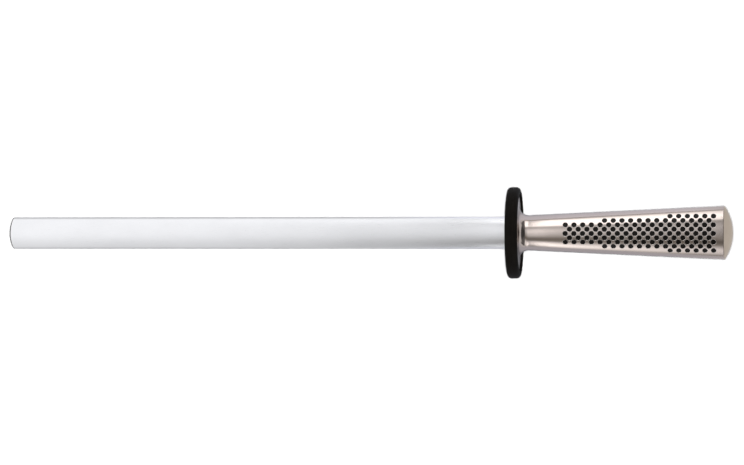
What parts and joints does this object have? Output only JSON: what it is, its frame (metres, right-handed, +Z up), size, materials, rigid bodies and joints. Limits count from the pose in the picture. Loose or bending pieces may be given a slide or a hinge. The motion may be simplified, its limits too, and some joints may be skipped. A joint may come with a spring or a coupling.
{
  "type": "knife sharpening steel",
  "caption": "Sharpening steel with an oval rod, a round rubber-rimmed guard and a tapering hollow steel handle with enamelled grip dimples, lying at rest.",
  "frame": {"origin": "on the ground, under the middle of the tool's box; the tool lies on the tip of its rod and the rim of its guard", "axes": "+X from the tip of the rod towards the butt of the handle, +Y across the tool, +Z up; the tool's own axis climbs 4.2 degrees towards the butt"},
  "size_m": [0.4334, 0.0546, 0.0545],
  "materials": {
    "rod_steel": "satin",
    "handle_steel": "satin",
    "cap_steel": "matte",
    "socket_alloy": "satin",
    "pin_steel": "satin",
    "ring_rubber": "matte",
    "seal_rubber": "matte",
    "black_enamel": "gloss",
    "ballast_sand": "matte"
  },
  "bodies": {
    "root": {"sharpening_rod": "rod_steel", "rod_seal": "seal_rubber", "guard_flange": "handle_steel", "guard_ring": "ring_rubber", "tang_socket": "socket_alloy", "tang_pin": "pin_steel", "handle_shell_upper": "handle_steel", "handle_shell_lower": "handle_steel", "grip_dots_upper": "black_enamel", "grip_dots_lower": "black_enamel", "butt_cap": "cap_steel", "ballast_fill": "ballast_sand"}
  },
  "joints": []
}
